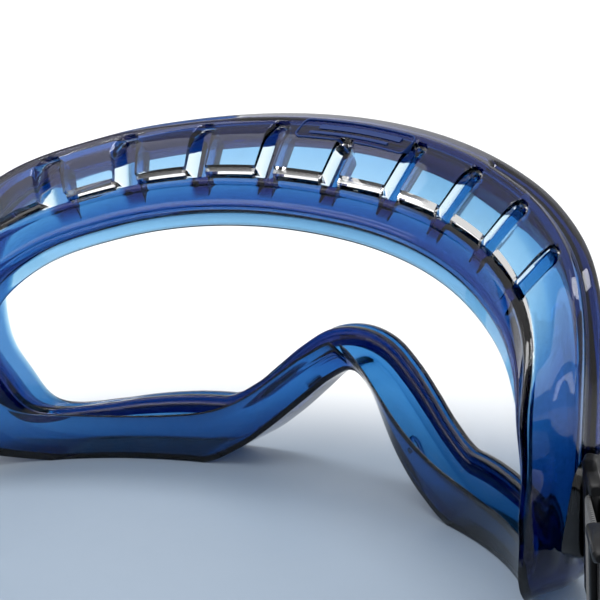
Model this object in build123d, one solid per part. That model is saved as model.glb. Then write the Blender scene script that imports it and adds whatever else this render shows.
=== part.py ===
from build123d import *
import math
import os

# Ventilated safety goggles, millimetres, +Z up, front of the goggles towards -Y.
# The soft frame is described by stations round its outline. Every station is a vertical
# plane that holds the Y direction and a line from the outer edge to the lip of the face flange.

# ---- Driving dimensions ----
LENS_RADIUS = 115.0          # plan radius of the front face of the lens ring
FRONT_Y = -20.0              # front face of the lens ring on the centre line
RING_DEPTH = 7.0             # depth of the lens ring, front to back
FACE_HALF_WIDTH = 88.0       # half axes of the ellipse that the face flange follows in plan
FACE_DEPTH = 66.0
CHEEK_LEAN = 3.5             # the flange's lower edges stand this far in front of the ellipse
BROW_LEAN = 5.5              # and its upper lip this far behind it
BROW_HEIGHT = 60.0
WALL = 2.2                   # thickness of the roof, side and floor walls
FLANGE = 2.0                 # thickness of the face flange
LENS_THICKNESS = 2.0
GROOVE_FRONT = 2.0           # front lip of the lens groove
GROOVE_WIDTH = 2.3
GROOVE_DEPTH = 3.5
LENS_BITE = 3.2              # how far the lens edge reaches into the groove
NOSE_PUSH_RING = 10.0        # the face flange comes forward over the nose, at its ring
NOSE_PUSH_LIP = 5.0          # and at its lip
NOSE_SPREAD = 15.0
NOSE_TOP = 52.0              # the push fades out over NOSE_FADE below this height
NOSE_FADE = 12.0
FACE_CURVE_END = 0.995       # share of the face's half width beyond which its curve is held
FLANGE_CLEARANCE = 1.0       # least distance between the lens ring and the face flange
NOTCH_HALF_WIDTH = 1.6
NOTCH_DEPTH = 6.0
NOTCH_LENGTH = 40.0          # length of the notch cutter, more than the flange is deep

CHANNEL_STATIONS = (-3.52, -2.64, -1.76, -0.88, 0.0, 0.88, 1.76, 2.64, 3.52)
CHANNEL_WIDTH = 5.0
CHANNEL_DEPTH = 0.9
CHANNEL_MARGIN = 4.0         # roof left uncut at the two ends of a channel, together
VENT_HEIGHT = 1.4            # rear facing air slots between the channels
VENT_LENGTH = 9.0
VENT_CUT = 12.0              # height of the cutters, more than any wall's thickness
FLOOR_VENT_STATIONS = (9.6, 10.3, 11.0)
FLOOR_VENT_LENGTH = 5.0
FLOOR_VENT_WIDTH = 6.0

PIVOT_Y = 36.0               # pivot axis of the strap clips, parallel to X
PIVOT_Z = 30.0
LUG_FACE_X = 98.0            # outer face of the side lugs
LUG_INNER_X = 82.0
LUG_LENGTH = 20.0
LUG_HEIGHT = 24.0
LUG_CORNER = 6.0
PIN_RADIUS = 3.0
PIN_INNER_X = 95.3
BORE_CLEARANCE = 0.05
HUB_GAP = 0.2
HUB_THICKNESS = 3.0
HUB_RADIUS = 11.0
CAP_RADIUS = 5.5
CAP_THICKNESS = 2.5
CAP_SOCKET = 1.3             # how far the pin reaches into its cap
CAP_EDGE = 0.8

STRAP_WIDTH = 25.0
STRAP_THICKNESS = 1.3
STRAP_FLARE = 35.0           # the strap leaves each clip this many degrees outwards
STRAP_STRAIGHT = 50.0        # straight stretch behind each clip
STRAP_CORNER_RADIUS = 45.0
STRAP_CORNER_END = 50.0      # heading after the corner, degrees inwards
STRAP_REST_GAP = 0.1         # the strap hangs down until its rear edge is this far off the surface
TAIL_LENGTH = 44.0           # doubled-back end beside the straight stretch

CLIP_BEND_Y = 45.0           # the clip's arm turns outwards here
CLIP_PLATE = 3.0
CLIP_HEIGHT = 32.0
ARM_LAP = 0.5                # the arm runs this far into the bend
CLIP_PLATE_END = 7.5         # distances behind the bend
CLIP_BAR_END = 13.0
BAR_LENGTH = 2.4             # bar of the clip that the strap goes round, along the strap
BAR_THICKNESS = 1.6
BAR_GAP = 0.2
BAR_LAP = 1.0                # rail left over outside each end of the bar
RAIL_GAP = 0.5               # between the strap's edges and the clip or the slider

SLIDER_POSITION = 24.0       # distance of the slider behind the clip bar
SLIDER_LENGTH = 14.0
SLIDER_BAR = 3.0
SLIDER_BAR_THICKNESS = 1.6
SLIDER_GAP = 0.3

# Outer edge (x, z), lip of the face flange (x, z), then the distances from the outer edge to
# the edge of the lens window and to the face ring, from the top centre round to the nose.
STATIONS = (
    (0.0, 94.6, 0.0, 69.8, 8.0, 13.6),
    (24.0, 93.6, 19.0, 69.2, 8.0, 13.3),
    (46.5, 90.7, 37.0, 67.0, 8.5, 13.2),
    (67.0, 86.0, 53.0, 63.0, 9.0, 14.0),
    (84.0, 78.0, 67.0, 57.0, 8.5, 14.0),
    (93.5, 64.0, 76.0, 48.0, 8.0, 12.0),
    (95.5, 45.0, 79.5, 37.5, 7.0, 11.0),
    (94.0, 26.5, 81.5, 25.0, 7.5, 7.5),
    (87.5, 6.0, 77.0, 15.5, 10.0, 3.0),
    (72.0, 0.0, 65.0, 13.0, 14.3, 0.0),
    (54.0, 0.0, 51.0, 13.0, 15.3, 0.0),
    (39.0, 0.0, 38.5, 14.8, 15.5, 0.0),
    (29.0, 5.0, 30.0, 18.0, 15.3, 0.0),
    (20.5, 12.0, 23.0, 22.5, 14.6, 0.0),
    (13.0, 19.5, 16.0, 28.5, 13.6, 0.0),
    (6.5, 26.0, 8.5, 34.8, 12.4, 0.0),
    (0.0, 29.5, 0.0, 39.5, 10.5, 0.0),
)
LAST = len(STATIONS) - 1
STEP = 0.5                   # station spacing of the lofts
SLOPE_STEP = 0.1             # stations either side of a cutter that give its direction
OUTLINE_REACH = 120.0        # the outline's prism passes through the whole frame


def station_row(index):
    """Row of the table, mirrored past the top centre and past the nose."""
    if index < 0:
        row = STATIONS[-index]
        return (-row[0], row[1], -row[2]) + row[3:]
    if index > LAST:
        row = STATIONS[2 * LAST - index]
        return (-row[0], row[1], -row[2]) + row[3:]
    return STATIONS[index]


def station(u):
    """Smooth station between the rows of the table; negative u is the other side."""
    if u < 0:
        row = station(-u)
        return (-row[0], row[1], -row[2]) + row[3:]
    k = min(int(math.floor(u)), LAST)
    t = u - k
    rows = [station_row(k + shift) for shift in (-1, 0, 1, 2)]
    values = []
    for a, b, c, d in zip(*rows):
        value = 0.5 * (2 * b + (c - a) * t + (2 * a - 5 * b + 4 * c - d) * t ** 2
                       + (3 * b - a - 3 * c + d) * t ** 3)
        values.append(value)
    values[1] = max(values[1], 0.0)
    values[5] = max(values[5], 0.0)
    return tuple(values)


def on_line(row, distance):
    """Point (x, z) of a station at a distance from its outer edge towards the lip."""
    dx = row[2] - row[0]
    dz = row[3] - row[1]
    share = distance / math.hypot(dx, dz)
    return row[0] + dx * share, row[1] + dz * share


def shell_y(x, depth):
    """Y of the cylinder that lies a depth behind the front face of the lens ring."""
    return FRONT_Y + LENS_RADIUS - math.sqrt((LENS_RADIUS - depth) ** 2 - x * x)


def face_y(x, z, brow_lean):
    """Plan curve of the face, nearer the front at the cheeks and set back by a lean at the
    brow."""
    share = min(abs(x) / FACE_HALF_WIDTH, FACE_CURVE_END)
    height = max(0.0, min(1.0, z / BROW_HEIGHT))
    lean = -CHEEK_LEAN + (CHEEK_LEAN + brow_lean) * height
    return FACE_DEPTH * (1 - math.sqrt(1 - share * share)) + lean


def nose_bump(x, z):
    """1 at the nose, fading to the sides, and 0 in the upper half."""
    lower = max(0.0, min(1.0, (NOSE_TOP - z) / NOSE_FADE))
    return lower * math.exp(-(x / NOSE_SPREAD) ** 2)


def ring_corner(row, distance, depth):
    """Corner (distance, y) of a station on a cylinder of the lens ring."""
    return distance, shell_y(on_line(row, distance)[0], depth)


def flange_corner(row, distance):
    """Corner (distance, y) of a station on the front of the face flange, which is straight
    from its ring to its lip and starts a clearance behind the lens ring."""
    x, z = on_line(row, row[5])
    start = face_y(x, z, 0.0) - NOSE_PUSH_RING * nose_bump(x, z)
    start = max(start, shell_y(row[0], RING_DEPTH) + FLANGE_CLEARANCE)
    x, z = row[2], row[3]
    end = face_y(x, z, BROW_LEAN) - NOSE_PUSH_LIP * nose_bump(x, z)
    return distance, start + (end - start) * (distance - row[5]) / (lip_distance(row) - row[5])


def lip_distance(row):
    return math.hypot(row[2] - row[0], row[3] - row[1])


def section(u, corners):
    """Closed wire of (distance, y) corners at a station."""
    row = station(u)
    points = []
    for distance, y in corners(row):
        x, z = on_line(row, distance)
        points.append(Vector(x, y, z))
    return Wire.make_polygon(points, close=True)


def ring_corners(row):
    """Lens ring with the groove of the lens in its inner edge."""
    window = row[4]
    groove_rear = GROOVE_FRONT + GROOVE_WIDTH
    return (
        ring_corner(row, 0.0, 0.0),
        ring_corner(row, window, 0.0),
        ring_corner(row, window, GROOVE_FRONT),
        ring_corner(row, window - GROOVE_DEPTH, GROOVE_FRONT),
        ring_corner(row, window - GROOVE_DEPTH, groove_rear),
        ring_corner(row, window, groove_rear),
        ring_corner(row, window, RING_DEPTH),
        ring_corner(row, WALL, RING_DEPTH),
        ring_corner(row, 0.0, RING_DEPTH),
    )


def wall_corners(row):
    """Wall from the rear of the lens ring to the ring of the face flange."""
    return (
        ring_corner(row, 0.0, RING_DEPTH),
        ring_corner(row, WALL, RING_DEPTH),
        flange_corner(row, row[5] + WALL),
        flange_corner(row, row[5]),
    )


def flange_corners(row):
    """Face flange, with a corner where the wall's inner face meets it."""
    ring = flange_corner(row, row[5])
    inner = flange_corner(row, row[5] + WALL)
    lip = flange_corner(row, lip_distance(row))
    return ring, inner, lip, (lip[0], lip[1] + FLANGE), (ring[0], ring[1] + FLANGE)


def frame_zone(corners, start, end):
    """Ruled solid of one cross-section between two stations."""
    count = round((end - start) / STEP)
    wires = []
    for k in range(count + 1):
        wires.append(section(start + k * STEP, corners))
    return Solid.make_loft(wires, ruled=True)


def both_sides(shape):
    """A shape and its mirror image, for a zone that crosses the centre line."""
    return shape + mirror(shape, about=Plane.YZ)


def wall_plane(u, share):
    """Plane on the outer face of the wall, a share of the way from the lens ring to the face.
    Its X runs along the outline, its Y to the rear along the wall and its Z outwards."""
    row = station(u)
    x, z = on_line(row, 0.0)
    start = Vector(x, shell_y(x, RING_DEPTH), z)
    x, z = on_line(row, row[5])
    end = Vector(x, flange_corner(row, row[5])[1], z)
    before = on_line(station(u - SLOPE_STEP), row[5])
    after = on_line(station(u + SLOPE_STEP), row[5])
    along = Vector(after[0] - before[0], 0, after[1] - before[1])
    normal = along.cross(end - start)
    place = start + (end - start) * share
    return Plane(origin=place, x_dir=along, z_dir=normal), (end - start).length


def roof():
    """Roof with nine channels and a rear facing air slot between each two of them."""
    shape = frame_zone(wall_corners, -5.0, 5.0)
    for u in CHANNEL_STATIONS:
        plane, length = wall_plane(u, 0.5)
        shape -= plane * Box(CHANNEL_WIDTH, length - CHANNEL_MARGIN, 2 * CHANNEL_DEPTH)
    for left, right in zip(CHANNEL_STATIONS, CHANNEL_STATIONS[1:]):
        plane, length = wall_plane((left + right) / 2, 1.0)
        shape -= plane * Box(VENT_LENGTH, 2 * VENT_HEIGHT, VENT_CUT)
    return shape


def floor_wall():
    """Bottom wall of the left side, with its small air slots."""
    shape = frame_zone(wall_corners, 9.0, 13.0)
    for u in FLOOR_VENT_STATIONS:
        plane, length = wall_plane(u, 0.5)
        shape -= plane * Box(FLOOR_VENT_WIDTH, FLOOR_VENT_LENGTH, VENT_CUT)
    return shape


def nose_flange():
    """Face flange over the nose, with the notch at the middle of its lip."""
    shape = both_sides(frame_zone(flange_corners, 13.0, LAST))
    lip_z = STATIONS[LAST][3]
    notch = Box(2 * NOTCH_HALF_WIDTH, NOTCH_LENGTH, 2 * NOTCH_DEPTH)
    return shape - Pos(0, 0, lip_z) * notch


def outline(inset):
    """Outline seen from the front, straight from station to station. inset(row) is its
    distance from the outer edge."""
    points = []
    for k in range(round(2 * LAST / STEP)):
        u = k * STEP
        row = station(u if u <= LAST else u - 2 * LAST)
        points.append(on_line(row, inset(row)))
    face = Plane.XZ * make_face(Polyline(*points, close=True))
    return extrude(face, amount=OUTLINE_REACH, both=True)


def lens():
    """Clear cylindrical lens; its edge sits in the groove of the lens ring."""
    column = outline(lambda row: row[4] - LENS_BITE)
    outer = LENS_RADIUS - GROOVE_FRONT - (GROOVE_WIDTH - LENS_THICKNESS) / 2
    tube = Cylinder(outer, 2 * LENS_RADIUS) - Cylinder(outer - LENS_THICKNESS, 2 * LENS_RADIUS)
    front_half = Pos(0, -LENS_RADIUS / 2, 0) * Box(3 * LENS_RADIUS, LENS_RADIUS, 2 * LENS_RADIUS)
    return column & (Pos(0, FRONT_Y + LENS_RADIUS, 0) * (tube & front_half))


def side_lug():
    """Left lug on the outside of the lens ring, bored for the pivot pin."""
    block = Box(LUG_FACE_X - LUG_INNER_X, LUG_LENGTH, LUG_HEIGHT)
    block = fillet(block.edges().filter_by(Axis.X), LUG_CORNER)
    block = Pos((LUG_FACE_X + LUG_INNER_X) / 2, PIVOT_Y, PIVOT_Z) * block
    inside = outline(lambda row: 0.0)
    bore = pivot_cylinder(PIN_RADIUS, PIN_INNER_X, LUG_FACE_X)
    return block - inside - bore


def pivot_cylinder(radius, start, end):
    """Cylinder on the left pivot axis between two X positions."""
    middle = (start + end) / 2
    return Pos(middle, PIVOT_Y, PIVOT_Z) * Rot(0, 90, 0) * Cylinder(radius, end - start)


HUB_START = LUG_FACE_X + HUB_GAP
HUB_END = HUB_START + HUB_THICKNESS
CAP_START = HUB_END + HUB_GAP


def pivot_pin():
    return pivot_cylinder(PIN_RADIUS, PIN_INNER_X, CAP_START + CAP_SOCKET)


def pin_cap():
    disc = pivot_cylinder(CAP_RADIUS, CAP_START, CAP_START + CAP_THICKNESS)
    disc = fillet(disc.edges().sort_by(Axis.X)[-1], CAP_EDGE)
    return disc - pivot_cylinder(PIN_RADIUS, CAP_START, CAP_START + CAP_SOCKET)


# The strap's own frame on the left side: X runs to the rear along the straight stretch and
# Y runs inwards. Its origin is the middle of the clip's bar.
FLARE = math.radians(STRAP_FLARE)
ARM_X = HUB_START + CLIP_PLATE / 2
BAR_X = ARM_X + CLIP_BAR_END * math.sin(FLARE)
BAR_Y = CLIP_BEND_Y + CLIP_BAR_END * math.cos(FLARE)
STRAP_PLANE = Plane(
    origin=(BAR_X, BAR_Y, PIVOT_Z),
    x_dir=(math.sin(FLARE), math.cos(FLARE), 0),
    z_dir=(0, 0, 1),
)
LAYER = BAR_THICKNESS / 2 + BAR_GAP + STRAP_THICKNESS / 2


def corner_end():
    """Where the strap's rounded corner ends: (x, y) from above, and the rear arc's radius."""
    angle = math.radians(STRAP_FLARE + STRAP_CORNER_END)
    along = STRAP_STRAIGHT + STRAP_CORNER_RADIUS * math.sin(angle)
    inward = LAYER + STRAP_CORNER_RADIUS * (1 - math.cos(angle))
    x = BAR_X + along * math.sin(FLARE) - inward * math.cos(FLARE)
    y = BAR_Y + along * math.cos(FLARE) + inward * math.sin(FLARE)
    return x, y, x / math.cos(math.radians(STRAP_CORNER_END))


def strap_tilt():
    """Angle at which the strap's rear lower edge comes down to the surface."""
    x, y, radius = corner_end()
    rear = y + radius * (1 - math.sin(math.radians(STRAP_CORNER_END)))
    reach = rear + STRAP_THICKNESS / 2 - PIVOT_Y
    drop = PIVOT_Z - STRAP_REST_GAP
    edge = STRAP_WIDTH / 2
    angle = math.asin(drop / math.hypot(reach, edge)) - math.atan2(edge, reach)
    return math.degrees(angle)


def tilt(shape):
    """Swing a piece of the harness down about the pivot axis."""
    axis = Axis((0, PIVOT_Y, PIVOT_Z), (1, 0, 0))
    return shape.rotate(axis, -strap_tilt())


def strap_clip():
    """Left clip: hub, arm, and a frame with the bar that the strap goes round."""
    hub = pivot_cylinder(HUB_RADIUS, HUB_START, HUB_END)
    arm_length = CLIP_BEND_Y + ARM_LAP - PIVOT_Y
    arm = Box(CLIP_PLATE, arm_length, 2 * HUB_RADIUS)
    arm = Pos(ARM_X, PIVOT_Y + arm_length / 2, PIVOT_Z) * arm
    bend = Pos(ARM_X, CLIP_BEND_Y, PIVOT_Z) * Cylinder(CLIP_PLATE / 2, CLIP_HEIGHT)
    flared = Pos(CLIP_PLATE_END / 2 - CLIP_BAR_END, 0, 0) * Box(CLIP_PLATE_END, CLIP_PLATE, CLIP_HEIGHT)
    rail_height = (CLIP_HEIGHT - STRAP_WIDTH) / 2 - RAIL_GAP
    rail = Box(CLIP_BAR_END + BAR_LENGTH / 2, CLIP_PLATE, rail_height)
    rail_x = BAR_LENGTH / 2 - (CLIP_BAR_END + BAR_LENGTH / 2) / 2
    rail_z = (CLIP_HEIGHT - rail_height) / 2
    frame = flared + Pos(rail_x, 0, rail_z) * rail + Pos(rail_x, 0, -rail_z) * rail
    bar_half = CLIP_HEIGHT / 2 - BAR_LAP
    frame += extrude(SlotOverall(BAR_LENGTH, BAR_THICKNESS), amount=bar_half, both=True)
    shape = hub + arm + bend + STRAP_PLANE * frame
    return shape - pivot_cylinder(PIN_RADIUS + BORE_CLEARANCE, HUB_START, HUB_END)


def strap_half():
    """Left half of the strap: doubled-back tail, fold, straight stretch, corner and rear."""
    turn = BAR_LENGTH / 2 - BAR_THICKNESS / 2
    tail = Line((TAIL_LENGTH, -LAYER), (-turn, -LAYER))
    fold = ThreePointArc((-turn, -LAYER), (-turn - LAYER, 0), (-turn, LAYER))
    main = Line((-turn, LAYER), (STRAP_STRAIGHT, LAYER))
    sweep = math.radians(STRAP_FLARE + STRAP_CORNER_END)
    hub_y = LAYER + STRAP_CORNER_RADIUS
    corner = []
    for share in (0.5, 1.0):
        angle = sweep * share
        x = STRAP_STRAIGHT + STRAP_CORNER_RADIUS * math.sin(angle)
        corner.append((x, hub_y - STRAP_CORNER_RADIUS * math.cos(angle)))
    bend = ThreePointArc((STRAP_STRAIGHT, LAYER), corner[0], corner[1])
    side = Curve() + [tail, fold, main, bend]
    band = extrude(STRAP_PLANE * trace(side, STRAP_THICKNESS), amount=STRAP_WIDTH / 2, both=True)
    x, y, radius = corner_end()
    centre_y = y - radius * math.sin(math.radians(STRAP_CORNER_END))
    half = math.radians((90 + STRAP_CORNER_END) / 2)
    middle = (radius * math.cos(half), centre_y + radius * math.sin(half))
    rear = ThreePointArc((x, y), middle, (0, centre_y + radius))
    back = extrude(trace(rear, STRAP_THICKNESS), amount=STRAP_WIDTH / 2, both=True)
    return band + Pos(0, 0, PIVOT_Z) * back


def strap():
    half = strap_half()
    return half + mirror(half, about=Plane.YZ)


def strap_slider():
    """Left slider: two outer bars and one inner bar between its rails."""
    reach = LAYER + STRAP_THICKNESS / 2 + SLIDER_GAP
    rail_height = (CLIP_HEIGHT - STRAP_WIDTH) / 2 - RAIL_GAP
    rail_z = (CLIP_HEIGHT - rail_height) / 2
    rail = Box(SLIDER_LENGTH, 2 * (reach + SLIDER_BAR_THICKNESS), rail_height)
    shape = Pos(0, 0, rail_z) * rail + Pos(0, 0, -rail_z) * rail
    bar = Box(SLIDER_BAR, SLIDER_BAR_THICKNESS, CLIP_HEIGHT)
    bar_y = reach + SLIDER_BAR_THICKNESS / 2
    bar_x = (SLIDER_LENGTH - SLIDER_BAR) / 2
    shape += Pos(bar_x, -bar_y, 0) * bar + Pos(-bar_x, -bar_y, 0) * bar + Pos(0, bar_y, 0) * bar
    return STRAP_PLANE * Pos(SLIDER_POSITION, 0, 0) * shape


def mirrored_pair(name, shape):
    """The left piece and its mirror image on the right."""
    return {name + "_left": shape, name + "_right": mirror(shape, about=Plane.YZ)}


def build_pieces():
    pieces = {
        "frame_ring_top": frame_zone(ring_corners, -4.0, 4.0),
        "frame_ring_nose": both_sides(frame_zone(ring_corners, 9.0, LAST)),
        "frame_roof": roof(),
        "frame_nose_wall": both_sides(frame_zone(wall_corners, 13.0, LAST)),
        "flange_top": frame_zone(flange_corners, -5.0, 5.0),
        "flange_nose": nose_flange(),
        "lens": lens(),
        "elastic_strap": tilt(strap()),
    }
    pieces.update(mirrored_pair("frame_ring_side", frame_zone(ring_corners, 4.0, 9.0)))
    pieces.update(mirrored_pair("frame_side_wall", frame_zone(wall_corners, 5.0, 9.0)))
    pieces.update(mirrored_pair("frame_floor_wall", floor_wall()))
    pieces.update(mirrored_pair("flange_side", frame_zone(flange_corners, 5.0, 9.0)))
    pieces.update(mirrored_pair("flange_cheek", frame_zone(flange_corners, 9.0, 13.0)))
    pieces.update(mirrored_pair("side_lug", side_lug()))
    pieces.update(mirrored_pair("pivot_pin", pivot_pin()))
    pieces.update(mirrored_pair("pin_cap", pin_cap()))
    pieces.update(mirrored_pair("strap_clip", tilt(strap_clip())))
    pieces.update(mirrored_pair("strap_slider", tilt(strap_slider())))
    return pieces


def main():
    """The origin is on the surface below, at the middle of the whole object's box."""
    pieces = build_pieces()
    boxes = [shape.bounding_box() for shape in pieces.values()]
    rear = max(box.max.Y for box in boxes)
    front = min(box.min.Y for box in boxes)
    middle = (front + rear) / 2
    print("moved forward by", middle)
    print("strap tilt", strap_tilt(), "strap corner", corner_end())
    print("lowest point", min(box.min.Z for box in boxes))
    os.makedirs("parts", exist_ok=True)
    for name, shape in pieces.items():
        export_step(Pos(0, -middle, 0) * shape, f"parts/{name}.step")


main()
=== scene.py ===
import math

import bmesh
import bpy
from mathutils import Matrix, Vector


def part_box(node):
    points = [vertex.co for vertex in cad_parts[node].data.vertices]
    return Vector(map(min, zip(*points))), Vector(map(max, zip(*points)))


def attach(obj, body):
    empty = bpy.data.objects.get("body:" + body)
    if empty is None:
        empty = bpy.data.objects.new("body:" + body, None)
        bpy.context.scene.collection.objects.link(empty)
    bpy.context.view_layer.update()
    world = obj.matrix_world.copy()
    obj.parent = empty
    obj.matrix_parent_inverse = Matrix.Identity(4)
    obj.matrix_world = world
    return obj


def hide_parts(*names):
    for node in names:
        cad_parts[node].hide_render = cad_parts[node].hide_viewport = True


# Ventilated safety goggles. Lengths are millimetres in the goggles' own frame, where the front of
# the lens ring is at FRONT_Y on the centre line, and at() turns them into metres in the row frame.
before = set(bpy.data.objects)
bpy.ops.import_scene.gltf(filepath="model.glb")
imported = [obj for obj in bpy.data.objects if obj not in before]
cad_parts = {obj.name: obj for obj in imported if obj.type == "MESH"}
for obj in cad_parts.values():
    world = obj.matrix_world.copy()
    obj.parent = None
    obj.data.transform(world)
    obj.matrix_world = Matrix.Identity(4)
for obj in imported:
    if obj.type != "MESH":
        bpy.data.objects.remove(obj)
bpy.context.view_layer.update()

FRONT_Y = -20.0
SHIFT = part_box("frame_ring_top")[0].y * 1000 - FRONT_Y

# ---- Soft frame: the same stations as the CAD model ----
LENS_RADIUS = 115.0
RING_DEPTH = 7.0
FACE_HALF_WIDTH = 88.0
FACE_DEPTH = 66.0
FACE_CURVE_END = 0.995
FLANGE_CLEARANCE = 1.0
CHEEK_LEAN = 3.5
BROW_LEAN = 5.5
BROW_HEIGHT = 60.0
NOSE_PUSH_RING = 10.0
NOSE_PUSH_LIP = 5.0
NOSE_SPREAD = 15.0
NOSE_TOP = 52.0              # the nose bump fades out over NOSE_FADE below this height
NOSE_FADE = 12.0
GROOVE_FRONT = 2.0
GROOVE_WIDTH = 2.3
GROOVE_DEPTH = 3.5
LENS_BITE = 3.0
LENS_THICKNESS = 2.0
WALL = 1.7                   # moulded wall behind the lens ring
RING_LAND = 4.9              # solid edge of the ring round the lens, in front of its rear recess
RING_FRONT = 1.7             # thickness of the ring's front in that recess

# Outer edge (x, z), lip of the face flange (x, z), then the distances from the outer edge to
# the edge of the lens window and to the face ring.
STATIONS = (
    (0.0, 94.6, 0.0, 69.8, 8.0, 13.6),
    (24.0, 93.6, 19.0, 69.2, 8.0, 13.3),
    (46.5, 90.7, 37.0, 67.0, 8.5, 13.2),
    (67.0, 86.0, 53.0, 63.0, 9.0, 14.0),
    (84.0, 78.0, 67.0, 57.0, 8.5, 14.0),
    (93.5, 64.0, 76.0, 48.0, 8.0, 12.0),
    (95.5, 45.0, 79.5, 37.5, 7.0, 11.0),
    (94.0, 26.5, 81.5, 25.0, 7.5, 7.5),
    (87.5, 6.0, 77.0, 15.5, 10.0, 3.0),
    (72.0, 0.0, 65.0, 13.0, 14.3, 0.0),
    (54.0, 0.0, 51.0, 13.0, 15.3, 0.0),
    (39.0, 0.0, 38.5, 14.8, 15.5, 0.0),
    (29.0, 5.0, 30.0, 18.0, 15.3, 0.0),
    (20.5, 12.0, 23.0, 22.5, 14.6, 0.0),
    (13.0, 19.5, 16.0, 28.5, 13.6, 0.0),
    (6.5, 26.0, 8.5, 34.8, 12.4, 0.0),
    (0.0, 29.5, 0.0, 39.5, 10.5, 0.0),
)
LAST = len(STATIONS) - 1

CHANNELS = (-3.52, -2.64, -1.76, -0.88, 0.0, 0.88, 1.76, 2.64, 3.52)
CHANNEL_HALF = 2.0           # half width of a channel's floor
CHANNEL_SIDE = 0.8           # width of each of its sides
CHANNEL_DROP = 2.1           # channel floor below the line of the wall
CHANNEL_SWELL = 1.3          # the wall is this much thicker under a channel
CHANNEL_START = 4.0          # distance from the lens ring to the centre of a channel's round end
CENTRE_START = 8.5           # the same for the middle channel, which ends below the plain pad
PANEL_RISE = 2.1             # rear edges of the panels above the line of the wall
PANEL_EDGE = 7.5             # the panels reach that height this far behind the lens ring
SLOT_SIDE = 3.6              # a slot starts this far from the middle of a channel
SIDE_PANEL_END = 7.7         # station where the side panel has faded out
SIDE_PANEL_FADE = 0.5
SLOT_REAR = 0.8              # distances of the slot's two edges from the face ring
SLOT_FRONT = 2.4
FULL_WALL = 14.0             # a wall shorter than this has its slot rows scaled down
WALL_ROWS = 26
SLOT_BEVEL = 0.5             # first row past the slot
WALL_END = 0.6               # last row, this far from the lens ring
HALVINGS = 30                # of a range of stations, to find a place in it
ARC_STEP = 0.02              # station step of the table of lengths
STATION_STEP = 0.1           # of the frame's mesh
NOSE_STEP = 0.05             # of the mesh beside the nose notch
NOSE_STEPS = 9
CHANNEL_REACH = 5.2          # the mesh follows each channel this far either side of its middle
CHANNEL_OFFSETS = (0, 0.8, 1.5, 2.0, 2.15, 2.4, 2.65, 2.85, SLOT_SIDE, 4.3, 5.0)
SLOT_TOLERANCE = 0.15
NOTCH_HALF_WIDTH = 1.6
NOTCH_DEPTH = 6.0


def smooth(value):
    value = max(0.0, min(1.0, value))
    return value * value * (3 - 2 * value)


def at(x, y, z):
    """Point of the goggles' frame, millimetres, as metres of the row frame."""
    return Vector((x, y + SHIFT, z)) / 1000


def station_row(index):
    """Row of the table, mirrored past the top centre and past the nose."""
    if index < 0:
        row = STATIONS[-index]
        return (-row[0], row[1], -row[2]) + row[3:]
    if index > LAST:
        row = STATIONS[2 * LAST - index]
        return (-row[0], row[1], -row[2]) + row[3:]
    return STATIONS[index]


def station(u):
    """Smooth station between the rows of the table; negative u is the other side."""
    if u < 0:
        row = station(-u)
        return (-row[0], row[1], -row[2]) + row[3:]
    k = min(int(math.floor(u)), LAST)
    t = u - k
    values = []
    for a, b, c, d in zip(*[station_row(k + shift) for shift in (-1, 0, 1, 2)]):
        value = 0.5 * (2 * b + (c - a) * t + (2 * a - 5 * b + 4 * c - d) * t ** 2
                       + (3 * b - a - 3 * c + d) * t ** 3)
        values.append(value)
    values[1] = max(values[1], 0.0)
    values[5] = max(values[5], 0.0)
    return tuple(values)


def lip_distance(row):
    return math.hypot(row[2] - row[0], row[3] - row[1])


def on_line(row, distance):
    """Point (x, z) of a station at a distance from its outer edge towards the lip."""
    share = distance / lip_distance(row)
    return row[0] + (row[2] - row[0]) * share, row[1] + (row[3] - row[1]) * share


def shell_y(x, depth):
    return FRONT_Y + LENS_RADIUS - math.sqrt((LENS_RADIUS - depth) ** 2 - x * x)


def face_y(x, z, brow_lean):
    share = min(abs(x) / FACE_HALF_WIDTH, FACE_CURVE_END)
    height = max(0.0, min(1.0, z / BROW_HEIGHT))
    lean = -CHEEK_LEAN + (CHEEK_LEAN + brow_lean) * height
    return FACE_DEPTH * (1 - math.sqrt(1 - share * share)) + lean


def nose_bump(x, z):
    lower = max(0.0, min(1.0, (NOSE_TOP - z) / NOSE_FADE))
    return lower * math.exp(-(x / NOSE_SPREAD) ** 2)


def ring_point(row, distance, depth):
    return distance, shell_y(on_line(row, distance)[0], depth)


def flange_point(row, distance, thickness=0.0):
    """Point of the face flange, a thickness behind its front surface."""
    x, z = on_line(row, row[5])
    start = face_y(x, z, 0.0) - NOSE_PUSH_RING * nose_bump(x, z)
    start = max(start, shell_y(row[0], RING_DEPTH) + FLANGE_CLEARANCE)
    x, z = row[2], row[3]
    end = face_y(x, z, BROW_LEAN) - NOSE_PUSH_LIP * nose_bump(x, z)
    share = (distance - row[5]) / (lip_distance(row) - row[5])
    return distance, start + (end - start) * share + thickness


def rounded(before, corner, after, radius, count):
    """Points of the arc that rounds a corner of a profile."""
    corner, before, after = Vector(corner), Vector(before), Vector(after)
    a, b = before - corner, after - corner
    reach = min(radius, 0.45 * a.length, 0.45 * b.length)
    first = corner + a.normalized() * reach
    last = corner + b.normalized() * reach
    points = []
    for k in range(count + 1):
        t = k / count
        points.append(first * (1 - t) ** 2 + corner * 2 * t * (1 - t) + last * t ** 2)
    return points


def rounded_line(before, corners, after):
    """Points of a line of corners between two other points: each corner has its own radius."""
    places = [before] + [place for place, _, _ in corners] + [after]
    points = []
    for k, (place, radius, count) in enumerate(corners):
        points += rounded(places[k], place, places[k + 2], radius, count)
    return points


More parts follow.
